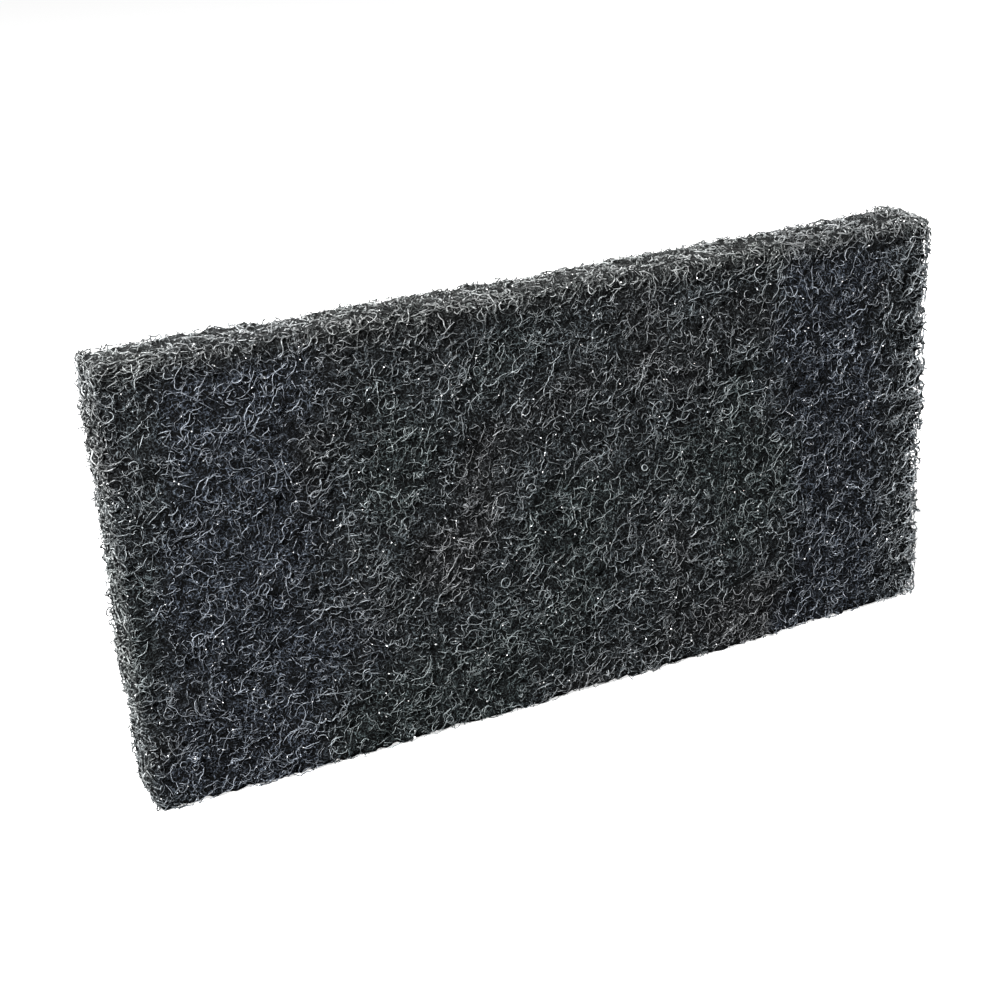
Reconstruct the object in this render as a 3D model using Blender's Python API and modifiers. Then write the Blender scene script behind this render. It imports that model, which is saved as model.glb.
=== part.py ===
"""Floor stripping pad: one slab of open non-woven abrasive web, standing on a long cut edge.

The slab is a block with soft edges and a skin of irregular hollows. Crimped strands of bonded
fibre lie over the hollows and are fused to the block and to each other, so the pad is one solid.
The whole slab sways a little, as a piece cut from a soft mat does, and one top corner is swollen.
The lower edge is trimmed flat, and the pad stands on it.

Units are metres and +Z is up. The origin is the middle of the edge that the pad stands on.
X runs along the pad, and the front face looks toward -Y.
"""
import math
import random

import bmesh
import bpy
from mathutils import Vector

# Overall size, over the crests of the strands
PAD_LENGTH = 0.250
PAD_HEIGHT = 0.120
PAD_THICKNESS = 0.018

# The block under the strands
EDGE_ROUND = 0.0032
EDGE_STEPS = 3
HOLLOW_GRID = 0.0014
HOLLOW_WIDTH = 0.0100
HOLLOW_DEPTH = 0.0022
HOLLOW_LEVEL = 0.75

# Crimped strands
STRAND_RADIUS = 0.0013
STRAND_PROUD = 0.0012
STRAND_ARCH = 0.0005
STRAND_SPACING = 0.0104
STRAND_STEP = 0.0031
STRAND_POINTS = 9
CRIMP_RADIUS = 0.0050
CRIMP_SPREAD = 1.8
CRIMP_TURN_BACK = 0.18
CRIMP_WANDER = 0.16
STRAND_SEED = 5

# How the cut slab sways, and its swollen corner
SWAY_SPAN = 0.060
SWAY_DEPTH = 0.0030
CORNER_REACH = 0.030
CORNER_OUT = 0.0022
CORNER_UP = 0.0012

# The flat edge that it stands on
FOOT_TRIM = 0.0018
TRIM_MARGIN = 0.010

# How finely the solid is made
FUSE_GRID = 0.0008
SKIN_TRIANGLES = 11200
SEAM_MERGE = 0.00005

PAD_COLOUR = (0.045, 0.048, 0.053, 1.0)
PAD_ROUGHNESS = 0.85

ALONG = Vector((1.0, 0.0, 0.0))
BACK = Vector((0.0, 1.0, 0.0))
UP = Vector((0.0, 0.0, 1.0))


def clear_scene():
    for thing in list(bpy.data.objects):
        bpy.data.objects.remove(thing, do_unlink=True)


def new_collection(name):
    group = bpy.data.collections.new(name)
    bpy.context.scene.collection.children.link(group)
    return group


def move_to(thing, group):
    for owner in list(thing.users_collection):
        owner.objects.unlink(thing)
    group.objects.link(thing)


def box(name, size, centre, group):
    """A block of the given size, with its scale applied and its middle at the given place."""
    bpy.ops.mesh.primitive_cube_add(size=1.0, location=centre)
    block = bpy.context.object
    block.name = name
    block.scale = size
    bpy.ops.object.transform_apply(location=False, rotation=False, scale=True)
    move_to(block, group)
    return block


def finished_mesh(thing):
    """A new mesh of an object as its modifiers leave it."""
    bpy.context.view_layer.update()
    return bpy.data.meshes.new_from_object(thing.evaluated_get(bpy.context.evaluated_depsgraph_get()))


def web_material():
    finish = bpy.data.materials.new("black_web")
    finish.use_nodes = True
    shader = finish.node_tree.nodes["Principled BSDF"]
    shader.inputs["Base Color"].default_value = PAD_COLOUR
    shader.inputs["Roughness"].default_value = PAD_ROUGHNESS
    shader.inputs["Metallic"].default_value = 0.0
    return finish


def cell_walls(name, span):
    """A pattern of irregular cells: low in each cell and high at the walls between them."""
    pattern = bpy.data.textures.new(name, "VORONOI")
    pattern.noise_scale = span
    return pattern


def slow_waves(name, span):
    """A smooth pattern whose three colours vary by themselves, to move a skin along X, Y and Z."""
    pattern = bpy.data.textures.new(name, "CLOUDS")
    pattern.cloud_type = "COLOR"
    pattern.noise_scale = span
    return pattern


def even_skin(block, grid):
    """Small even faces all over the block, with what overlaps fused into one body."""
    skin = block.modifiers.new("even skin", "REMESH")
    skin.mode = "VOXEL"
    skin.voxel_size = grid


def hollow_block(group):
    """The block under the strands, with soft edges and a skin of irregular hollows."""
    top = PAD_HEIGHT - STRAND_PROUD
    size = (PAD_LENGTH - 2 * STRAND_PROUD, PAD_THICKNESS - 2 * STRAND_PROUD, top + FOOT_TRIM)
    block = box("stripping_pad", size, (0.0, 0.0, (top - FOOT_TRIM) / 2), group)
    soft = block.modifiers.new("soft edges", "BEVEL")
    soft.width = EDGE_ROUND
    soft.segments = EDGE_STEPS
    soft.limit_method = "NONE"
    even_skin(block, HOLLOW_GRID)
    pits = block.modifiers.new("hollows", "DISPLACE")
    pits.texture = cell_walls("hollows", HOLLOW_WIDTH)
    pits.texture_coords = "LOCAL"
    pits.strength = HOLLOW_DEPTH
    pits.mid_level = HOLLOW_LEVEL
    return block


def slab_faces():
    """Each face that carries strands: its two directions, the way out of it, its size and its depth."""
    return (
        (ALONG, UP, -BACK, PAD_LENGTH, PAD_HEIGHT, PAD_THICKNESS),
        (ALONG, UP, BACK, PAD_LENGTH, PAD_HEIGHT, PAD_THICKNESS),
        (ALONG, BACK, UP, PAD_LENGTH, PAD_THICKNESS, PAD_HEIGHT),
        (BACK, UP, ALONG, PAD_THICKNESS, PAD_HEIGHT, PAD_LENGTH),
        (BACK, UP, -ALONG, PAD_THICKNESS, PAD_HEIGHT, PAD_LENGTH),
    )


def strand_starts(rng, width, height):
    """One place in each cell of a face, anywhere in the cell, so that the strands cover it evenly."""
    columns = max(round(width / STRAND_SPACING), 1)
    rows = max(round(height / STRAND_SPACING), 1)
    for column in range(columns):
        for row in range(rows):
            across = (column + rng.random()) / columns - 0.5
            rise = (row + rng.random()) / rows - 0.5
            yield across * width, rise * height


def crimped_walk(rng, across, rise):
    """Places along one strand on a flat face: arcs that bend one way and now and then turn back."""
    heading = rng.uniform(0.0, 2 * math.pi)
    bend = rng.choice((-1, 1)) / (CRIMP_RADIUS * rng.uniform(1.0, CRIMP_SPREAD))
    places = []
    for _ in range(STRAND_POINTS):
        places.append((across, rise))
        across += STRAND_STEP * math.cos(heading)
        rise += STRAND_STEP * math.sin(heading)
        heading += bend * STRAND_STEP + rng.gauss(0.0, CRIMP_WANDER)
        if rng.random() < CRIMP_TURN_BACK:
            bend = -bend
    return places


def held_in(value, extent):
    """Turns a strand back where it would run over the edge of its face."""
    most = extent / 2 - STRAND_RADIUS
    lap = (value + most) % (4 * most)
    return most - abs(lap - 2 * most)


def lay_strand(curve, face, places):
    """One strand: both its ends dip into the block and its middle stands proud of the hollows."""
    first, second, out, width, height, depth = face
    spline = curve.splines.new("POLY")
    spline.points.add(len(places) - 1)
    crest = depth / 2 - STRAND_RADIUS
    for index, (across, rise) in enumerate(places):
        arch = math.sin(math.pi * index / (len(places) - 1))
        level = crest - STRAND_ARCH * (1 - arch)
        spot = first * held_in(across, width) + second * held_in(rise, height) + out * level
        spline.points[index].co = (*spot, 1.0)


def crimped_strands(group):
    """All the strands, as one curve object whose tubes overlap where the strands cross."""
    rng = random.Random(STRAND_SEED)
    curve = bpy.data.curves.new("strands", "CURVE")
    curve.dimensions = "3D"
    curve.bevel_depth = STRAND_RADIUS
    curve.bevel_resolution = 1
    curve.use_fill_caps = True
    for face in slab_faces():
        for across, rise in strand_starts(rng, face[3], face[4]):
            lay_strand(curve, face, crimped_walk(rng, across, rise))
    strands = bpy.data.objects.new("strands", curve)
    strands.location = (0.0, 0.0, PAD_HEIGHT / 2)
    group.objects.link(strands)
    bpy.context.view_layer.update()
    return strands


def join_strands(block, strands):
    """Puts the strands into the block's own mesh, where they overlap it until the skin is remade."""
    base = finished_mesh(block)
    tubes = finished_mesh(strands)
    tubes.transform(block.matrix_world.inverted() @ strands.matrix_world)
    both = bmesh.new()
    both.from_mesh(tubes)
    bmesh.ops.remove_doubles(both, verts=both.verts, dist=SEAM_MERGE)
    both.from_mesh(base)
    both.to_mesh(base)
    both.free()
    block.modifiers.clear()
    block.data = base
    bpy.data.objects.remove(strands, do_unlink=True)


def sway(pad):
    drift = pad.modifiers.new("sway of the cut", "DISPLACE")
    drift.texture = slow_waves("sway", SWAY_SPAN)
    drift.texture_coords = "LOCAL"
    drift.direction = "RGB_TO_XYZ"
    drift.strength = SWAY_DEPTH
    drift.mid_level = 0.5


def guide(name, place, group):
    spot = bpy.data.objects.new(name, None)
    spot.location = place
    spot.hide_render = True
    group.objects.link(spot)
    return spot


def swell_corner(pad, group):
    """Draws the far top corner out and up, fading with distance from it."""
    corner = Vector((PAD_LENGTH / 2, PAD_THICKNESS / 2, PAD_HEIGHT))
    swell = pad.modifiers.new("swollen corner", "WARP")
    swell.object_from = guide("corner_cut", corner, group)
    swell.object_to = guide("corner_swollen", corner + CORNER_OUT * ALONG + CORNER_UP * UP, group)
    swell.falloff_type = "SMOOTH"
    swell.falloff_radius = CORNER_REACH


def thin_skin(pad):
    """Keeps the faces that the strands and hollows need, and drops the rest."""
    dense = finished_mesh(pad)
    dense.calc_loop_triangles()
    fewer = pad.modifiers.new("fewer faces", "DECIMATE")
    fewer.decimate_type = "COLLAPSE"
    fewer.ratio = SKIN_TRIANGLES / len(dense.loop_triangles)
    bpy.data.meshes.remove(dense)


def trim_foot(pad, group):
    """Cuts the lower edge flat, so that the pad stands on it."""
    size = (PAD_LENGTH + 2 * TRIM_MARGIN, PAD_THICKNESS + 2 * TRIM_MARGIN, 2 * TRIM_MARGIN)
    cutter = box("foot_trim", size, (0.0, 0.0, -TRIM_MARGIN), group)
    cutter.hide_render = True
    cutter.display_type = "WIRE"
    cut = pad.modifiers.new("flat foot", "BOOLEAN")
    cut.operation = "DIFFERENCE"
    cut.object = cutter
    tidy = pad.modifiers.new("clean seam", "WELD")
    tidy.merge_threshold = SEAM_MERGE


def stripping_pad(parts, guides):
    pad = hollow_block(parts)
    join_strands(pad, crimped_strands(guides))
    even_skin(pad, FUSE_GRID)
    sway(pad)
    swell_corner(pad, guides)
    thin_skin(pad)
    trim_foot(pad, guides)
    pad.data.materials.append(web_material())
    return pad


def main():
    clear_scene()
    parts = new_collection("floor_stripping_pad")
    guides = new_collection("cutters_and_guides")
    stripping_pad(parts, guides)


main()
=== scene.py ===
import math

import bpy
import numpy as np
from mathutils import Matrix, Vector


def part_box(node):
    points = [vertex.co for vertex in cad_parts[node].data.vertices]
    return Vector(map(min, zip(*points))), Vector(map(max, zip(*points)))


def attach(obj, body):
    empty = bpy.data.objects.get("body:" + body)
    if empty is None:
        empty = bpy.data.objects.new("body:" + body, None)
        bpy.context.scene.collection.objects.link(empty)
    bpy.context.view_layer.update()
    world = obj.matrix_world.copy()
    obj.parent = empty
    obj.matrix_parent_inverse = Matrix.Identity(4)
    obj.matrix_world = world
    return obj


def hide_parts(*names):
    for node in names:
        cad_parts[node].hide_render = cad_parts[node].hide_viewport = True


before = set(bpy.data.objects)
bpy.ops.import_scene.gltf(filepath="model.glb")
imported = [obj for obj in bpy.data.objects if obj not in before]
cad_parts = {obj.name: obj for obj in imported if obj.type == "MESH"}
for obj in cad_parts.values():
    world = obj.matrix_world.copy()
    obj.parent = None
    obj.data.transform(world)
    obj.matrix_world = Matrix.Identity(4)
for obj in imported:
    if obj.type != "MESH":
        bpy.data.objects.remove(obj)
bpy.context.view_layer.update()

NODE = "stripping_pad"
BODY = "root"
SEED = 7

# The slab, inside the box of the solid
SKIN_OUT = Vector((0.00005, 0.00030, 0.00065))
CORNER_REACH = 0.030
CORNER_OUT = 0.0022
CORNER_SHOWN = 0.0002
CORNER_UP = 0.0006
EDGE_ROUND = 0.0030
SWAY_SPAN = 0.040
SWAY_DEPTH = 0.0004
BOW = 0.0015
LEAN = 0.0020
WORN_REACH = 0.0070
WORN_DEPTH = 0.0014
WORN_LIFT = 0.0002

# How thick the fibres are, and how long
FRONT_RADIUS = 0.000082
BACK_RADIUS = 0.000110
RIM_RADIUS = 0.000135
EDGE_BAND = 0.0022
EDGE_THICKENING = 0.5
OPEN_THICKENING = 0.9
THINNEST = 0.60
THICKEST = 1.30
FIBRE_LEAST = 0.0025
FIBRE_MOST = 0.011
END_TAPER = 0.65

# How the fibres curl and where they turn back or end
TIGHTEST_CURL = 0.00055
WIDEST_CURL = 0.0027
BROAD_CURLS = (TIGHTEST_CURL, WIDEST_CURL)
CRIMP_SHORTEST = 0.0022
CRIMP_LONGEST = 0.0065
CURLY_SHARE = 0.35
RIM_TIGHTEST = 0.00050
RIM_WIDEST = 0.0021
RIM_CURLS = (RIM_TIGHTEST, RIM_WIDEST)
STEP_SHARE = 0.70
SHORTEST_STEP = 0.00050
LONGEST_STEP = 0.0012
MAT_LAY = (1.0, 0.6, 1.0)
TURN_SWING = 0.45
CRIMP_UNEVEN = (0.4, 1.6)
CRIMP_BEND = 1.35
CURLY_BEND = (0.3, 1.5)
SHELL_DEPTH = 0.0012
OUT_OF_PLANE = 0.90
FLATTENING = 0.05
TURN_ZONE = 0.0006
HARDEST_TURN = 1.3
OVERSHOOT = 0.0002
RIM_FACING = 0.6
BROAD_FACING = 0.9
SKIN_CROWDING = 0.8
OPEN_CROWDING = 0.55
LIMIT_SPREAD = 0.00030
STRAY_SHARE = 0.25
STRAY_REACH = 0.0008
CUT_SHARE = 0.55
CUT_REACH = 0.00002
CUT_SPREAD = 0.00028
CLUMP_SPAN = 0.0026
CLUMP_REACH = 0.00038

# How dark and how uneven the fibres are, with painted shade along the slab's edges and a painted contact
# shadow above the foot
TONE_BIAS = 2.0
# Painted shade on fibres at the skin along the edges, and a painted contact shadow above the foot
TIP_PAINTED_SHADE = 0.80
TIP_FROM = -0.0005
TIP_TO = 0.0004
TIP_FADE = (0.45, 0.80)
FOOT_PAINTED_SHADOW = 0.35
FOOT_SHADOW_TO = 0.0025
LUMP_SPAN = 0.0080
LUMP_DEPTH = 0.00025
TUFT_SPAN = 0.0030
TUFT_DEPTH = 0.00042
FLOOR_GAP = 0.0002

# Triangles for each piece of the shell, and those reckoned for each fibre that is started
FRONT_TRIANGLES = 149000
FRONT_PIECES = 3
BACK_TRIANGLES = 146000
BACK_PIECES = 1
RIM_TRIANGLES = 146000
RIM_PIECES = 2
BROAD_TRIANGLES_EACH = 50
RIM_TRIANGLES_EACH = 10
RIM_SHARES = {"top": 0.36, "left": 0.19, "right": 0.40, "foot": 0.05}

# The dark heart: the web's black depths, partly painted shade
HEART_INSET = np.array((0.0006, 0.0008, 0.0004))
HEART_FOOT = -0.0016
HEART_ROUND = 0.0016
HEART_GRID = 0.0016
HEART_HOLLOW = 0.0040
HEART_RELIEF = 0.0009
TOE_OUT = 0.0001
TOE_HEIGHT = 0.0040
FOOT_SPAN = 0.0034
FOOT_TEETH = 0.0016
OPEN_END = 0.0056
OPEN_SPAN = 0.0080
OPEN_RAGGED = 0.8

# Abrasive grains
GRAIN_COUNT = 10500
GRAIN_SMALLEST = 0.00012
GRAIN_LARGEST = 0.00027
GRAIN_DEEPEST = 0.0007
GRAIN_PROUD = 0.0001
GRAIN_STRETCH = (0.7, 1.3)
GRAIN_TRIES = 4

# Export map: pixels of the image that each piece is laid out for
MAP_SIDE = 1024
MAP_ALONG = 2.6
MAP_ACROSS = 2.0
MAP_GAP = 2.0

# Camera, fitted to the corners of the slab in the photograph
CAMERA_PLACE = Vector((-0.19752, -0.37696, 0.23205))
CAMERA_AZIMUTH = math.radians(-25.622)
CAMERA_ELEVATION = math.radians(22.241)
CAMERA_ROLL = math.radians(-2.963)
CAMERA_LENS = 58.520
SENSOR_WIDTH = 36.0

# Studio: each lamp has a place, a size and watts
FLOOR_SIDE = 8.0
FLOOR_DROP = 0.0001
FLOOR_PAINT = 0.80
FLOOR_GLOW = 0.75
SKY_DIM = 0.030
SKY_RISE = 0.20
SKY_HEIGHTS = (-0.4, 1.0)
LAMPS = {
    "key": ((-0.66, -0.44, 0.87), 0.32, 52.0),
    "back_light": ((0.30, 1.00, 0.16), 0.90, 20.0),
}

# Tints of the resin, where each shows, and how far along the pad its navy bands reach
NAVY = (0.86, 0.97, 1.14)
GREEN = (0.88, 1.03, 1.05)
BROWN = (0.96, 1.00, 1.04)
PLAIN = (0.90, 1.01, 1.07)
# A warm tint for the top and the left end, also darker: painted shade on those faces
WARM_SHADE_TINT = (0.92, 0.96, 0.94)
WARM_SHADE_SHARE = 0.8
PALE = (1.20, 1.32, 1.40)
WARM_SHADE_TOP = (0.1140, 0.1200)
WARM_SHADE_LEFT = (0.1235, 0.1260)
PALE_RIGHT = (0.1020, 0.1160)
TINT_SPAN = 0.040
GREEN_BELOW = (0.40, 0.50)
BROWN_ABOVE = (0.55, 0.66)
BAND_MIDDLE = 0.094
BAND_WIDTH = 0.016
BAND_BLUR = 0.012
BAND_EDGE_SPAN = 0.030
BAND_EDGE_SWING = 0.05

# Finish of the fibres, the grains and the deep web
SPECK_SPAN = 0.00050
FIBRE_SPECKS = (0.40, 0.62)
FIBRE_DARK = 0.024
FIBRE_LIGHT = 0.400
TONE_SHARE = 0.62
SPECK_SHARE = 0.46
TONE_DROP = 0.14
FIBRE_SMOOTHEST = 0.20
FIBRE_ROUGHENING = 0.45
FIBRE_ROUGH_SPAN = 0.0006
FIBRE_GLOSS = 0.7
GRAIN_DARK = 0.03
GRAIN_LIGHT = 0.38
# A few grains painted near-white: painted glints
GRAIN_PAINTED_GLINT = 0.90
PAINTED_GLINT_FROM = (0.89, 0.90)
GRAIN_SMOOTHEST = 0.16
GRAIN_ROUGHENING = 0.28
GRAIN_ROUGH_SPAN = 0.004
NEAR_CURLS = ((0.0012, 0.060, 1.3), (0.0019, 0.044, 8.2))
FAR_CURLS = (0.0009, 0.085, 5.9)
# The far curls are painted dimmer than the near ones: painted shade of the deeper layers
FAR_SHADED_SHARE = 0.40
HEART_SPECKS = (0.38, 0.62)
SPECK_FLOOR = 0.15
WEB_SPAN = 0.0045
NEAR_WEB = (0.30, 0.56)
FAR_WEB = (0.40, 0.80)
# The heart's near-black is the web's own black with painted shade of the depths
HEART_SHADED_BLACK = 0.0010
HEART_LIGHT = 0.150
HEART_CONTRAST = 1.35
HEART_BUMP = {"Strength": 0.7, "Distance": 0.0003}
HEART_ROUGHNESS = 0.85
HEART_GLOSS = 0.08


# Shader maths

class Sock:
    """One socket of a material, on which arithmetic adds Math nodes."""

    def __init__(self, tree, socket):
        self.tree = tree
        self.socket = socket

    def maths(self, operation, *values):
        return self.tree.node("ShaderNodeMath", {"operation": operation}, dict(enumerate(values)))

    def __add__(self, other):
        return self.maths("ADD", self, other)

    def __radd__(self, other):
        return self.maths("ADD", other, self)

    def __sub__(self, other):
        return self.maths("SUBTRACT", self, other)

    def __rsub__(self, other):
        return self.maths("SUBTRACT", other, self)

    def __mul__(self, other):
        return self.maths("MULTIPLY", self, other)

    def __rmul__(self, other):
        return self.maths("MULTIPLY", other, self)

    def __pow__(self, other):
        return self.maths("POWER", self, other)

    def absolute(self):
        return self.maths("ABSOLUTE", self)

    def larger(self, other):
        return self.maths("MAXIMUM", self, other)

    def between(self, low, high):
        """0 at low and 1 at high, held to that range."""
        sockets = {0: self, 1: low, 2: high, 3: 0.0, 4: 1.0}
        return self.tree.node("ShaderNodeMapRange", {"clamp": True}, sockets)


class Tree:
    """Builds the nodes of one material or of the world."""

    def __init__(self, owner):
        owner.use_nodes = True
        self.nodes = owner.node_tree.nodes
        self.links = owner.node_tree.links
        self.nodes.clear()

    def node(self, kind, settings=None, sockets=None, output=0):
        """Adds a node: its settings first, then the values or links of its sockets."""
        made = self.nodes.new(kind)
        for name, value in (settings or {}).items():
            setattr(made, name, value)
        for key, value in (sockets or {}).items():
            if isinstance(value, Sock):
                self.links.new(value.socket, made.inputs[key])
            else:
                made.inputs[key].default_value = value
        return Sock(self, made.outputs[output]) if len(made.outputs) else None

    def blend(self, share, first, second):
        """A colour that goes from first to second as share goes from 0 to 1."""
        settings = {"data_type": "RGBA", "blend_type": "MIX"}
        return self.node("ShaderNodeMix", settings, {0: share, 6: first, 7: second}, output=2)

    def place(self):
        return self.node("ShaderNodeTexCoord", output="Object")

    def noise(self, place, size, detail=2.0, rough=0.5, offset=0.0):
        """Smooth noise from 0 to 1 whose features are about size metres across."""
        if offset:
            settings = {"operation": "ADD"}
            place = self.node("ShaderNodeVectorMath", settings, {0: place, 1: (offset, offset, offset)})
        sockets = {"Vector": place, "Scale": 1.0 / size, "Detail": detail, "Roughness": rough}
        return self.node("ShaderNodeTexNoise", {"noise_dimensions": "3D"}, sockets, output="Fac")

    def attribute(self, name):
        return self.node("ShaderNodeAttribute", {"attribute_name": name}, output="Fac")


def grey(value, tint=(1.0, 1.0, 1.0)):
    return (value * tint[0], value * tint[1], value * tint[2], 1.0)


def mottled(tree, place, level, strength=1.0):
    """The resin's drift of tint: greenish and brownish patches, and a navy band near each end.

    The top and the left end are a warmer grey, darkened with painted shade, and the right end is paler.
    """
    tints = (PLAIN, GREEN, BROWN, NAVY, WARM_SHADE_TINT, PALE)
    colours = (grey(level, [part ** strength for part in tint]) for tint in tints)
    plain, green, brown, navy, warm_shaded_grey, pale = colours
    drift = tree.noise(place, TINT_SPAN, detail=1.0)
    base = tree.blend(drift.between(*GREEN_BELOW), green, plain)
    base = tree.blend(drift.between(*BROWN_ABOVE), base, brown)
    along = tree.node("ShaderNodeSeparateXYZ", {}, {0: place}, output="X")
    rise = tree.node("ShaderNodeSeparateXYZ", {}, {0: place}, output="Z")
    off = (along.absolute() - BAND_MIDDLE).absolute()
    off = off + (tree.noise(place, BAND_EDGE_SPAN, offset=3.7) - 0.5) * BAND_EDGE_SWING
    band = 1.0 - off.between(BAND_WIDTH, BAND_WIDTH + BAND_BLUR)
    base = tree.blend(band, base, navy)
    base = tree.blend(along.between(*PALE_RIGHT), base, pale)
    # Painted shade with a warm tint on the top and the left end
    warm_shaded = rise.between(*WARM_SHADE_TOP).larger((0.0 - along).between(*WARM_SHADE_LEFT))
    return tree.blend(warm_shaded * WARM_SHADE_SHARE, base, warm_shaded_grey)


def finish_material(tree, colour, roughness, normal=None, gloss=0.5):
    sockets = {"Base Color": colour, "Roughness": roughness, "Specular IOR Level": gloss}
    if normal is not None:
        sockets["Normal"] = normal
    shader = tree.node("ShaderNodeBsdfPrincipled", {}, sockets)
    tree.node("ShaderNodeOutputMaterial", {}, {"Surface": shader})


def fibre_material():
    """Resin-coated fibre: black, a little glossy, each fibre with its own tone, darkened by painted shade
    along the edges and by a painted contact shadow above the foot.
    """
    material = bpy.data.materials.new("coated_fibre")
    tree = Tree(material)
    place = tree.place()
    tone = tree.attribute("fibre_tone")
    shade = tree.attribute("fibre_shade")
    speck = tree.noise(place, SPECK_SPAN, detail=1.0).between(*FIBRE_SPECKS)
    dark = mottled(tree, place, FIBRE_DARK, strength=1.6)
    light = mottled(tree, place, FIBRE_LIGHT, strength=0.8)
    # shade carries painted shade along the edges and a painted contact shadow at the foot
    share = (tone * TONE_SHARE + speck * SPECK_SHARE - TONE_DROP) * shade
    colour = tree.blend(share, dark, light)
    roughness = FIBRE_SMOOTHEST + tree.noise(place, FIBRE_ROUGH_SPAN, detail=1.0) * FIBRE_ROUGHENING
    finish_material(tree, colour, roughness, gloss=FIBRE_GLOSS)
    return material


def grain_material():
    """Abrasive grain under resin: dark, with a glassy face; a few are painted near-white as painted glints.
    """
    material = bpy.data.materials.new("abrasive_grain")
    tree = Tree(material)
    place = tree.place()
    tone = tree.attribute("grain_tone_and_glint")
    dull = tree.blend(tone, mottled(tree, place, GRAIN_DARK), mottled(tree, place, GRAIN_LIGHT))
    # Painted glints: the grains with the highest tone are near-white
    colour = tree.blend(tone.between(*PAINTED_GLINT_FROM), dull, grey(GRAIN_PAINTED_GLINT))
    roughness = GRAIN_SMOOTHEST + tree.noise(place, GRAIN_ROUGH_SPAN, detail=0.0) * GRAIN_ROUGHENING
    finish_material(tree, colour, roughness, gloss=1.0)
    return material


def curled_lines(tree, place, size, width, offset):
    """Thin curly lines, where a smooth noise crosses its middle value."""
    field = tree.noise(place, size, detail=0.0, offset=offset)
    return 1.0 - (field - 0.5).absolute().between(0.0, width)


def heart_material():
    """The web deep inside the pad: black, with the fibres of deeper layers showing as fine curls. Its
    near-black and its dimmer far curls are partly painted shade of the depths.
    """
    material = bpy.data.materials.new("deep_web")
    tree = Tree(material)
    place = tree.place()
    first, second = (curled_lines(tree, place, *curls) for curls in NEAR_CURLS)
    near = first.larger(second)
    far = curled_lines(tree, place, *FAR_CURLS)
    speck = tree.noise(place, SPECK_SPAN, detail=1.0, offset=4.4).between(*HEART_SPECKS)
    thick = tree.noise(place, WEB_SPAN, detail=2.0, offset=2.0)
    # Painted shade: the far curls are dimmer than the near ones
    deep = far * (1.0 - thick.between(*FAR_WEB)) * FAR_SHADED_SHARE
    shown = (near * thick.between(*NEAR_WEB)).larger(deep)
    shown = shown * (SPECK_FLOOR + speck * (1.0 - SPECK_FLOOR))
    light = mottled(tree, place, HEART_LIGHT, strength=1.5)
    colour = tree.blend(shown ** HEART_CONTRAST, grey(HEART_SHADED_BLACK, PLAIN), light)
    normal = tree.node("ShaderNodeBump", {}, {"Height": shown, **HEART_BUMP})
    finish_material(tree, colour, HEART_ROUGHNESS - shown * 0.2, normal, gloss=HEART_GLOSS)
    return material


# The slab's shape

def slab_size():
    """Half the slab's length, thickness and height, and the middle of it, from the solid's box."""
    low, high = (Vector(corner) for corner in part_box(NODE))
    span = high - low
    half = Vector(((span.x - CORNER_OUT) / 2, span.y / 2, span.z / 2)) + SKIN_OUT
    return np.array(half), np.array((0.0, 0.0, half.z))


HALF, MIDDLE = slab_size()


def skin_of(points, half=HALF, rounding=EDGE_ROUND):
    """How far points lie outside the slab's rounded skin, and the way out of it, from the middle.

    The skin runs on below the foot, so the foot's edges stay full where they meet the floor.
    """
    beyond = np.abs(points) - (half - rounding)
    beyond[:, 2] -= np.where(points[:, 2] < 0, rounding, 0.0)
    corner = np.maximum(beyond, 0.0)
    reach = np.linalg.norm(corner, axis=1)
    deepest = beyond.argmax(axis=1)
    rows = np.arange(len(points))
    flat = np.zeros_like(points)
    flat[rows, deepest] = 1.0
    round_way = corner / np.maximum(reach, 1e-9)[:, None]
    way = np.where((reach > 0)[:, None], round_way, flat) * np.where(points < 0, -1.0, 1.0)
    outside = np.where(reach > 0, reach, beyond[rows, deepest]) - rounding
    return outside, way


def waves(points, span, shift):
    """Smooth irregular waves of about the given span, from -1 to 1, at each point."""
    total = np.zeros(len(points))
    for order in range(6):
        turn = np.array((
            math.sin(2.1 * order + shift),
            math.cos(1.3 * order),
            math.sin(0.7 * order + 2 * shift),
        ))
        along = points @ (turn / np.linalg.norm(turn)) / span * (0.7 + 0.17 * order)
        total += np.sin(2 * math.pi * along + 1.9 * order * shift)
    return total / 3


def slow_drift(points):
    """A small smooth shift of each point, as in a slab cut from a soft mat."""
    shift = np.zeros_like(points)
    for axis in range(3):
        shift[:, axis] = waves(points, SWAY_SPAN, axis + 1.0) * SWAY_DEPTH
    return shift


def swell_at(points):
    """How far the uneven skin swells out of the plain one, in broad lumps and small tufts."""
    return waves(points, LUMP_SPAN, 4.0) * LUMP_DEPTH + waves(points, TUFT_SPAN, 7.0) * TUFT_DEPTH


def uneven_skin_of(points):
    """The same as skin_of, for a skin that swells and sinks a little all over."""
    outside, way = skin_of(points)
    return outside - swell_at(points), way


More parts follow.
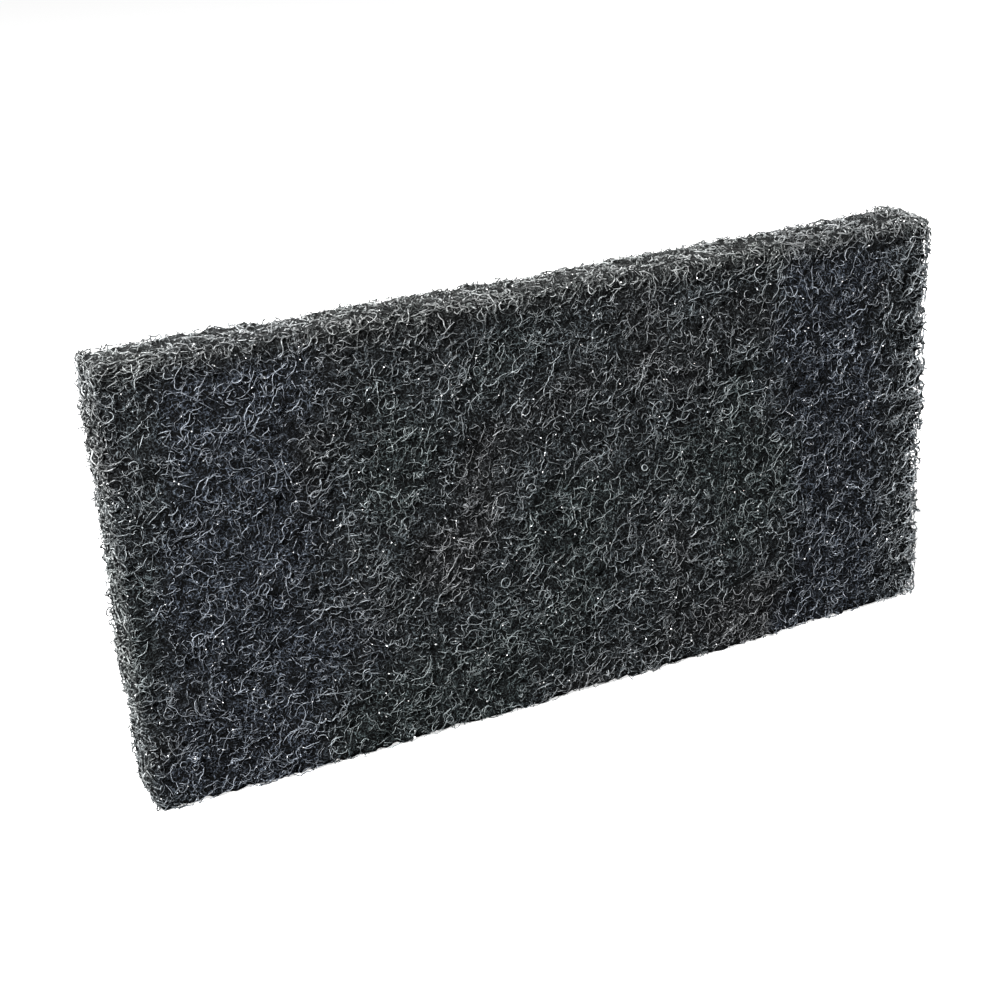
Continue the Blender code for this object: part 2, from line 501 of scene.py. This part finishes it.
def settled(points):
    """Points of the plain slab, from its middle, as they lie in the frame.

    The slab is swayed and bowed, its right end leans in, its foot's corners are worn and its far top
    corner is drawn out.
    """
    moved = points + slow_drift(points)
    moved[:, 1] -= BOW * (1.0 - (points[:, 0] / HALF[0]) ** 2)
    height = points[:, 2] + HALF[2]
    moved[:, 0] -= LEAN * np.clip(points[:, 0] / HALF[0], 0.0, 1.0) ** 2 * height / (2 * HALF[2])
    room = HALF[0] - np.abs(points[:, 0]) + height
    worn = np.clip(1.0 - room / WORN_REACH, 0.0, 1.0) ** 2
    moved[:, 0] -= np.sign(points[:, 0]) * worn * WORN_DEPTH
    moved[:, 2] += worn * WORN_LIFT
    far = np.linalg.norm(points - HALF, axis=1) / CORNER_REACH
    fade = np.clip(1.0 - far, 0.0, 1.0)
    fade = fade * fade * (3.0 - 2.0 * fade)
    moved = moved + fade[:, None] * (CORNER_SHOWN, 0.0, CORNER_UP) + MIDDLE
    moved[:, 2] = np.maximum(moved[:, 2], FLOOR_GAP)
    return moved


# Fibres

def unit(vectors):
    return vectors / np.maximum(np.linalg.norm(vectors, axis=1), 1e-12)[:, None]


def starts_on(rng, axis, side, count, depth=SHELL_DEPTH, crowding=SKIN_CROWDING):
    """Places under one face of the slab. The smaller crowding is, the more of them lie near the face."""
    points = rng.uniform(-1.0, 1.0, (count, 3)) * HALF
    points[:, axis] = side * (HALF[axis] - depth * rng.power(crowding, count))
    return points


def shell_depth(way):
    """How deep the fibres reach: deeper at the open end, where light shows through the web."""
    return SHELL_DEPTH + np.where(way[:, 0] > RIM_FACING, OPEN_END, 0.0)


def any_way(rng, count):
    return unit(rng.normal(size=(count, 3)) * MAT_LAY)


def grow_fibres(rng, points, tightest, widest):
    """Walks every fibre at once. Returns the places it passes and how many steps of it are kept.

    Fibres are crimped or curled, in all directions. At the broad faces they turn back into the mat,
    and at the cut edges they end.
    """
    count = len(points)
    curl = np.exp(rng.uniform(math.log(tightest), math.log(widest), count))
    step = np.clip(curl * STEP_SHARE, SHORTEST_STEP, LONGEST_STEP)
    length = rng.uniform(FIBRE_LEAST, FIBRE_MOST, count)
    kept = np.ceil(length / step).astype(int)
    heading = any_way(rng, count)
    turn = rng.uniform(0.0, 2 * math.pi, count)
    wave = rng.uniform(0.0, 2 * math.pi, count)
    pace = 2 * math.pi * step / rng.uniform(CRIMP_SHORTEST, CRIMP_LONGEST, count)
    curly = rng.random(count) < CURLY_SHARE
    limit = rng.normal(0.0, LIMIT_SPREAD, count)
    stray = rng.random(count) < STRAY_SHARE
    stray_end = STRAY_REACH * rng.random(count)
    cut = rng.random(count) < CUT_SHARE
    cut_end = rng.normal(CUT_REACH, CUT_SPREAD, count)
    path = np.empty((kept.max() + 1, count, 3))
    path[0] = points
    for index in range(1, len(path)):
        outside, way = uneven_skin_of(points)
        rim = (np.abs(way[:, 1]) < RIM_FACING) & (way[:, 2] > -RIM_FACING)
        sideways = unit(np.cross(way, heading) + 1e-9)
        above = np.cross(heading, sideways)
        turn = turn + rng.normal(0.0, TURN_SWING, count)
        wave = wave + pace * rng.uniform(*CRIMP_UNEVEN, count)
        curling = rng.uniform(*CURLY_BEND, count)
        swing = np.where(curly, curling, CRIMP_BEND * np.sin(wave)) * step / curl
        bend = sideways * np.cos(turn)[:, None] + above * (np.sin(turn) * OUT_OF_PLANE)[:, None]
        heading = heading + bend * swing[:, None]
        rise = np.sum(heading * way, axis=1)
        clump = waves(points, CLUMP_SPAN, 13.0) * CLUMP_REACH
        reach = limit + np.where(rim, CUT_REACH + clump, 0.0)
        loose = stray | (rim & cut)
        near = np.clip((outside - reach) / TURN_ZONE + 1.0, 0.0, HARDEST_TURN) * (rise > 0) * ~loose
        deep = np.clip((-outside - shell_depth(way)) / TURN_ZONE + 1.0, 0.0, HARDEST_TURN) * (rise < 0)
        hold = np.maximum(np.maximum(near, deep), FLATTENING * ~rim)
        heading = unit(heading - way * (rise * hold)[:, None])
        points = points + heading * step[:, None]
        outside, way = uneven_skin_of(points)
        over = np.maximum(outside - reach - OVERSHOOT, 0.0) * ~loose
        points = points - way * over[:, None]
        points[:, 2] = np.maximum(points[:, 2], FLOOR_GAP - HALF[2])
        on_floor = points[:, 2] < 2 * FLOOR_GAP - HALF[2]
        heading[on_floor, 2] = np.abs(heading[on_floor, 2])
        ended = np.where(rim & cut, outside > cut_end + clump, stray & (outside > stray_end))
        kept = np.where(ended & (index < kept), index, kept)
        path[index] = points
    return path, kept


def thickening(points):
    """How much thicker the resin lies on the fibres near the cut edges and at the open end."""
    room = HALF - np.abs(points)
    edge = np.clip(1.0 - np.minimum(room[:, 0], room[:, 2]) / EDGE_BAND, 0.0, 1.0)
    end = np.clip(1.0 - (HALF[0] - points[:, 0]) / OPEN_END, 0.0, 1.0)
    return 1.0 + EDGE_THICKENING * edge + OPEN_THICKENING * end


def shade_of(points):
    """How far each place shows its own tone: less where painted shade lies along the slab's edges, and less
    where a painted contact shadow lies just above the foot.
    """
    outside, way = uneven_skin_of(points)
    # Painted shade on the fibres at the skin along the slab's edges
    tip_shade = np.clip((outside - TIP_FROM) / (TIP_TO - TIP_FROM), 0.0, 1.0) * (np.abs(way[:, 1]) < BROAD_FACING)
    off_middle = np.abs(points[:, 1]) / HALF[1]
    tip_shade = tip_shade * np.clip((off_middle - TIP_FADE[0]) / (TIP_FADE[1] - TIP_FADE[0]), 0.0, 1.0)
    # Painted contact shadow, darkest at the floor
    low = np.clip(1.0 - (points[:, 2] + HALF[2]) / FOOT_SHADOW_TO, 0.0, 1.0)
    return (1.0 - TIP_PAINTED_SHADE * tip_shade) * (1.0 - FOOT_PAINTED_SHADOW * low)


def tube_mesh(name, path, kept, radius, tone):
    """One mesh of three-sided closed tubes along the fibres."""
    count = path.shape[1]
    numbers = kept + 1
    first = np.concatenate(([0], np.cumsum(numbers)[:-1]))
    total = int(numbers.sum())
    owner = np.repeat(np.arange(count), numbers)
    step = np.arange(total) - first[owner]
    points = path[step, owner]
    before = path[np.maximum(step - 1, 0), owner]
    after = path[np.minimum(step + 1, kept[owner]), owner]
    along = unit(after - before)
    _, way = skin_of(points)
    across = unit(np.cross(along, way) + 1e-6)
    up = np.cross(across, along)
    ends = (step == 0) | (step == kept[owner])
    reach = radius[owner] * np.where(ends, END_TAPER, 1.0) * thickening(points)
    middle = settled(points)
    rings = np.empty((total, 3, 3))
    for side in range(3):
        angle = 2 * math.pi * side / 3
        offset = across * math.cos(angle) + up * math.sin(angle)
        rings[:, side] = middle + offset * reach[:, None]
    rings[:, :, 2] = np.maximum(rings[:, :, 2], 0.0)
    start = np.flatnonzero(step < kept[owner])
    quads = np.empty((len(start), 3, 4), int)
    for side in range(3):
        other = (side + 1) % 3
        corners = (start * 3 + side, start * 3 + other, (start + 1) * 3 + other, (start + 1) * 3 + side)
        quads[:, side] = np.stack(corners, axis=1)
    last = first + kept
    caps = np.concatenate((first[:, None] * 3 + (2, 1, 0), last[:, None] * 3 + (0, 1, 2)))
    places = tube_map(kept, owner[start], step[start])
    mesh = new_mesh(name, rings.reshape(-1, 3), quads.reshape(-1, 4), caps, places)
    mark(mesh, "fibre_tone", np.repeat(tone[owner], 3))
    mark(mesh, "fibre_shade", np.repeat(shade_of(points), 3))
    return mesh


def tube_map(kept, owner, step):
    """Lays each fibre out as a strip on shelves across the map. Returns map places for quads, then caps."""
    widths = kept * MAP_ALONG + 2 * MAP_GAP + MAP_ALONG
    shelf = np.zeros(len(kept))
    left = np.zeros(len(kept))
    at, row = 0.0, 0
    for index, width in enumerate(widths):
        if at + width > MAP_SIDE - MAP_GAP:
            at, row = 0.0, row + 1
        left[index] = at + MAP_GAP
        shelf[index] = row
        at += width
    height = min(3 * MAP_ACROSS + MAP_GAP, (MAP_SIDE - MAP_GAP) / (row + 1))
    across = (height - MAP_GAP * 0.8) / 3
    low = shelf * height + MAP_GAP / 2
    u = left[owner] + step * MAP_ALONG
    quads = np.empty((len(owner), 3, 4, 2))
    for side in range(3):
        v = low[owner] + side * across
        quads[:, side, :, 1] = np.stack((v, v + across, v + across, v), axis=1)
        quads[:, side, :, 0] = np.stack((u, u, u + MAP_ALONG, u + MAP_ALONG), axis=1)
    ends = []
    for start in (left - 1.8, left + kept * MAP_ALONG + 0.3):
        corners = np.stack((start, start + 1.5, start + 0.75), axis=1)
        rises = np.stack((low + 0.5, low + 0.5, low + 3.5), axis=1)
        ends.append(np.stack((corners, rises), axis=2))
    caps = np.concatenate(ends)
    return np.concatenate((quads.reshape(-1, 2), caps.reshape(-1, 2))) / MAP_SIDE


def new_mesh(name, points, quads, triangles, places, smooth=True):
    """A mesh from arrays of four-sided and three-sided faces, with its map for the export."""
    mesh = bpy.data.meshes.new(name)
    corners = np.concatenate((quads.ravel(), triangles.ravel())).astype(np.int32)
    sizes = np.concatenate((np.full(len(quads), 4), np.full(len(triangles), 3))).astype(np.int32)
    mesh.vertices.add(len(points))
    mesh.vertices.foreach_set("co", points.astype(np.float32).ravel())
    mesh.loops.add(len(corners))
    mesh.loops.foreach_set("vertex_index", corners)
    mesh.polygons.add(len(sizes))
    starts = np.concatenate(([0], np.cumsum(sizes)[:-1])).astype(np.int32)
    mesh.polygons.foreach_set("loop_start", starts)
    mesh.polygons.foreach_set("use_smooth", np.full(len(sizes), smooth))
    mesh.update(calc_edges=True)
    layer = mesh.uv_layers.new(name="OFBake", do_init=False)
    layer.uv.foreach_set("vector", places.astype(np.float32).ravel())
    return mesh


def mark(mesh, name, values):
    """Stores one value for each point of a mesh, for its material."""
    layer = mesh.attributes.new(name, "FLOAT", "POINT")
    layer.data.foreach_set("value", values.astype(np.float32))


def new_piece(name, mesh, material):
    """Adds a piece of the pad: it moves with the pad's one body and wears its one finish."""
    mesh.materials.append(material)
    piece = bpy.data.objects.new(name, mesh)
    bpy.context.scene.collection.objects.link(piece)
    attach(piece, BODY)
    return piece


def fibre_piece(name, rng, starts, triangles, radius, material, curls=BROAD_CURLS):
    """One piece of the shell, with as many of the fibres as its triangles allow."""
    path, kept = grow_fibres(rng, starts, *curls)
    long_enough = kept >= 3
    path, kept = path[:, long_enough], kept[long_enough]
    needed = np.cumsum(kept * 6 + 2)
    enough = needed < triangles
    path, kept = path[:, enough], kept[enough]
    count = len(kept)
    tone = rng.random(count) ** TONE_BIAS
    radius = radius * rng.uniform(THINNEST, THICKEST, count)
    mesh = tube_mesh(name, path, kept, radius, tone)
    piece = new_piece(name, mesh, material)
    return piece, path, kept


def rim_starts(rng, count):
    """Starts under the four narrow faces, mixed."""
    faces = {"top": (2, 1), "left": (0, -1), "right": (0, 1), "foot": (2, -1)}
    starts = []
    for name, share in RIM_SHARES.items():
        axis, side = faces[name]
        depth = SHELL_DEPTH + (OPEN_END if name == "right" else 0.0)
        crowding = OPEN_CROWDING if name == "right" else SKIN_CROWDING
        starts.append(starts_on(rng, axis, side, round(count * share), depth, crowding))
    return rng.permutation(np.concatenate(starts))


def all_fibres(material):
    """The shell of fibres: its pieces for the front, for the back and for the four narrow faces."""
    rng = np.random.default_rng(SEED)
    grown = []
    for index in range(FRONT_PIECES):
        name = f"front_fibres_{index + 1}"
        starts = starts_on(rng, 1, -1, FRONT_TRIANGLES // BROAD_TRIANGLES_EACH)
        grown.append(fibre_piece(name, rng, starts, FRONT_TRIANGLES, FRONT_RADIUS, material))
    for index in range(BACK_PIECES):
        name = f"back_fibres_{index + 1}"
        starts = starts_on(rng, 1, 1, BACK_TRIANGLES // BROAD_TRIANGLES_EACH)
        grown.append(fibre_piece(name, rng, starts, BACK_TRIANGLES, BACK_RADIUS, material))
    for index in range(RIM_PIECES):
        name = f"edge_fibres_{index + 1}"
        starts = rim_starts(rng, RIM_TRIANGLES // RIM_TRIANGLES_EACH)
        piece = fibre_piece(name, rng, starts, RIM_TRIANGLES, RIM_RADIUS, material, RIM_CURLS)
        grown.append(piece)
    return grown


# Grains

def grain_places(rng, grown):
    """Places on the outer side of the outer fibres, evenly over the skin."""
    found = []
    for _, path, kept in grown:
        share = GRAIN_COUNT * GRAIN_TRIES // len(grown)
        owner = rng.integers(0, path.shape[1], share)
        step = (rng.random(share) * kept[owner]).astype(int)
        found.append(path[step, owner])
    points = np.concatenate(found)
    outside, way = skin_of(points)
    points = (points + way * GRAIN_PROUD)[outside > -GRAIN_DEEPEST]
    return points[rng.permutation(len(points))[:GRAIN_COUNT]]


def grains(grown, material):
    """Four-faced grains, each with its own size, stretch and turn."""
    rng = np.random.default_rng(SEED + 1)
    places = settled(grain_places(rng, grown))
    count = len(places)
    tips = np.array(((1, 1, 1), (1, -1, -1), (-1, 1, -1), (-1, -1, 1))) / math.sqrt(3)
    sides = np.array(((0, 1, 2), (0, 3, 1), (0, 2, 3), (1, 3, 2)))
    size = rng.uniform(GRAIN_SMALLEST, GRAIN_LARGEST, count)
    shape = tips[None] * rng.uniform(*GRAIN_STRETCH, (count, 4, 1)) * size[:, None, None]
    turns, _ = np.linalg.qr(rng.normal(size=(count, 3, 3)))
    turns[np.linalg.det(turns) < 0, :, 0] *= -1
    points = np.einsum("nij,nkj->nki", turns, shape) + places[:, None]
    points[:, :, 2] = np.maximum(points[:, :, 2], 0.0)
    faces = (np.arange(count)[:, None, None] * 4 + sides[None]).reshape(-1, 3)
    cells = math.ceil(math.sqrt(len(faces)))
    index = np.arange(len(faces))
    corner = np.array(((0.2, 0.2), (0.8, 0.2), (0.5, 0.8)))
    cell = np.stack((index % cells, index // cells), axis=1)
    map_places = (cell[:, None] + corner[None]).reshape(-1, 2) / cells
    no_quads = np.empty((0, 4), int)
    mesh = new_mesh("grains", points.reshape(-1, 3), no_quads, faces, map_places, smooth=False)
    mark(mesh, "grain_tone_and_glint", np.repeat(rng.random(count), 4))
    return new_piece("grains", mesh, material)


# The heart

def relief_texture(name, kind, size):
    pattern = bpy.data.textures.new(name, kind)
    pattern.noise_scale = size
    return pattern


def add_relief(piece, texture, depth):
    push = piece.modifiers.new(texture.name, "DISPLACE")
    push.texture = texture
    push.texture_coords = "LOCAL"
    push.strength = depth
    push.mid_level = 0.5


def heart_half():
    """Half the heart's length, thickness and height, and its middle from the slab's middle."""
    shift = (HEART_FOOT - HEART_INSET[2]) / 2
    return HALF - HEART_INSET - (0.0, 0.0, shift), np.array((0.0, 0.0, shift))


def heart_block():
    """The block inside the fibres, with an even skin, from the slab's middle."""
    half, middle = heart_half()
    bpy.ops.mesh.primitive_cube_add(size=2.0, location=middle)
    block = bpy.context.object
    block.scale = half
    bpy.ops.object.transform_apply(location=True, rotation=False, scale=True)
    soft = block.modifiers.new("soft edges", "BEVEL")
    soft.width = HEART_ROUND
    soft.segments = 2
    skin = block.modifiers.new("even skin", "REMESH")
    skin.mode = "VOXEL"
    skin.voxel_size = HEART_GRID
    add_relief(block, relief_texture("heart hollows", "VORONOI", HEART_HOLLOW), HEART_RELIEF)
    add_relief(block, relief_texture("heart lumps", "CLOUDS", HEART_HOLLOW / 2), HEART_RELIEF)
    return block


def heart_map(mesh, points):
    """Map places for the heart: each face of the slab flat on its own part of the map."""
    loops = np.empty(len(mesh.loops), np.int32)
    mesh.loops.foreach_get("vertex_index", loops)
    sizes = np.empty(len(mesh.polygons), np.int32)
    mesh.polygons.foreach_get("loop_total", sizes)
    face = np.repeat(np.arange(len(sizes)), sizes)
    centres = np.zeros((len(sizes), 3))
    np.add.at(centres, face, points[loops])
    centres /= sizes[:, None]
    _, way = skin_of(centres, HALF - HEART_INSET, HEART_ROUND)
    axis = np.abs(way).argmax(axis=1)
    side = way[np.arange(len(way)), axis] > 0
    unit_place = (points / (HALF * 1.06) + 1.0) / 2
    charts = {
        (1, False): ((0, 2), (0.00, 0.00, 1.0, 0.42)),
        (1, True): ((0, 2), (0.00, 0.43, 1.0, 0.42)),
        (2, True): ((0, 1), (0.00, 0.86, 0.49, 0.06)),
        (2, False): ((0, 1), (0.50, 0.86, 0.49, 0.06)),
        (0, True): ((2, 1), (0.00, 0.93, 0.49, 0.06)),
        (0, False): ((2, 1), (0.50, 0.93, 0.49, 0.06)),
    }
    places = np.zeros((len(loops), 2))
    for (which, positive), (axes, (left, low, width, height)) in charts.items():
        chosen = ((axis == which) & (side == positive))[face]
        flat = unit_place[loops[chosen]][:, axes]
        places[chosen] = flat * (width, height) + (left, low)
    layer = mesh.uv_layers.new(name="OFBake", do_init=False)
    layer.uv.foreach_set("vector", places.astype(np.float32).ravel())


def heart_shape(points):
    """The heart's skin follows the fibres' tufts. It has a toe at the foot and a ragged open end."""
    _, way = skin_of(points, HALF - HEART_INSET, HEART_ROUND)
    moved = points + way * swell_at(points)[:, None]
    toe = np.clip(1.0 - (points[:, 2] + HALF[2]) / TOE_HEIGHT, 0.0, 1.0)
    moved[:, 1] += np.sign(points[:, 1]) * np.abs(way[:, 1]) * toe * TOE_OUT
    teeth = np.clip(waves(points, FOOT_SPAN, 17.0), 0.0, 1.0) * FOOT_TEETH
    moved[:, 2] = np.maximum(moved[:, 2], FLOOR_GAP + teeth - HALF[2])
    ragged = np.clip(0.5 + OPEN_RAGGED * waves(points, OPEN_SPAN, 11.0), 0.0, 1.0)
    near_end = np.clip((points[:, 0] - HALF[0] + 2 * OPEN_END) / OPEN_END, 0.0, 1.0)
    moved[:, 0] -= ragged * near_end * OPEN_END
    return moved


def web_heart(material):
    block = heart_block()
    bpy.context.view_layer.update()
    mesh = bpy.data.meshes.new_from_object(block.evaluated_get(bpy.context.evaluated_depsgraph_get()))
    bpy.data.objects.remove(block, do_unlink=True)
    points = np.empty(len(mesh.vertices) * 3, np.float32)
    mesh.vertices.foreach_get("co", points)
    points = points.reshape(-1, 3).astype(float)
    heart_map(mesh, points)
    mesh.vertices.foreach_set("co", settled(heart_shape(points)).astype(np.float32).ravel())
    mesh.polygons.foreach_set("use_smooth", np.full(len(mesh.polygons), True))
    mesh.materials.clear()
    mesh.update()
    return new_piece("web_heart", mesh, material)


# Studio

def emission(tree, colour, strength):
    return tree.node("ShaderNodeEmission", {}, {"Color": colour, "Strength": strength})


def pale_floor():
    """A seamless white floor, bright enough that the pad's own shade on it stays faint."""
    bpy.ops.mesh.primitive_plane_add(size=FLOOR_SIDE, location=(0.0, 0.0, -FLOOR_DROP))
    floor = bpy.context.object
    floor.name = "floor"
    material = bpy.data.materials.new("pale_floor")
    tree = Tree(material)
    paint = tree.node("ShaderNodeBsdfDiffuse", {}, {"Color": grey(FLOOR_PAINT)})
    glow = emission(tree, grey(1.0), FLOOR_GLOW)
    both = tree.node("ShaderNodeAddShader", {}, {0: paint, 1: glow})
    tree.node("ShaderNodeOutputMaterial", {}, {"Surface": both})
    floor.data.materials.append(material)
    floor.visible_diffuse = False
    floor.visible_glossy = False


def studio_world():
    """Soft light from all round, stronger from above, before a white backdrop."""
    world = bpy.data.worlds.new("studio")
    bpy.context.scene.world = world
    tree = Tree(world)
    direction = tree.node("ShaderNodeTexCoord", output="Generated")
    height = tree.node("ShaderNodeSeparateXYZ", {}, {0: direction}, output="Z")
    strength = SKY_DIM + height.between(*SKY_HEIGHTS) * SKY_RISE
    light = tree.node("ShaderNodeBackground", {}, {"Color": grey(1.0), "Strength": strength})
    backdrop = tree.node("ShaderNodeBackground", {}, {"Color": grey(1.0), "Strength": 1.0})
    seen = tree.node("ShaderNodeLightPath", output="Is Camera Ray")
    both = tree.node("ShaderNodeMixShader", {}, {0: seen, 1: light, 2: backdrop})
    tree.node("ShaderNodeOutputWorld", {}, {"Surface": both})


def softbox(name, place, size, watts):
    """A square area light that faces the middle of the pad."""
    light = bpy.data.lights.new(name, "AREA")
    light.shape = "SQUARE"
    light.size = size
    light.energy = watts
    lamp = bpy.data.objects.new(name, light)
    lamp.location = place
    aim = Vector(MIDDLE) - Vector(place)
    lamp.rotation_euler = aim.to_track_quat("-Z", "Y").to_euler()
    bpy.context.scene.collection.objects.link(lamp)


def studio_camera():
    """A camera at the photograph's place and angle."""
    data = bpy.data.cameras.new("camera")
    data.sensor_width = SENSOR_WIDTH
    data.lens = CAMERA_LENS
    data.clip_start = 0.01
    data.clip_end = 20.0
    camera = bpy.data.objects.new("camera", data)
    flat = math.cos(CAMERA_ELEVATION)
    forward = Vector((
        -math.sin(CAMERA_AZIMUTH) * flat,
        math.cos(CAMERA_AZIMUTH) * flat,
        -math.sin(CAMERA_ELEVATION),
    ))
    level = forward.cross(Vector((0.0, 0.0, 1.0))).normalized()
    above = level.cross(forward)
    right = level * math.cos(CAMERA_ROLL) + above * math.sin(CAMERA_ROLL)
    up = above * math.cos(CAMERA_ROLL) - level * math.sin(CAMERA_ROLL)
    turn = Matrix((right, up, -forward)).transposed().to_4x4()
    camera.matrix_world = Matrix.Translation(CAMERA_PLACE) @ turn
    bpy.context.scene.collection.objects.link(camera)
    bpy.context.scene.camera = camera


def build():
    bpy.context.scene.view_settings.view_transform = "Standard"
    heart = web_heart(heart_material())
    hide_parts(NODE)
    grown = all_fibres(fibre_material())
    grains(grown, grain_material())
    pale_floor()
    studio_world()
    for name, lamp in LAMPS.items():
        softbox(name, *lamp)
    studio_camera()


build()
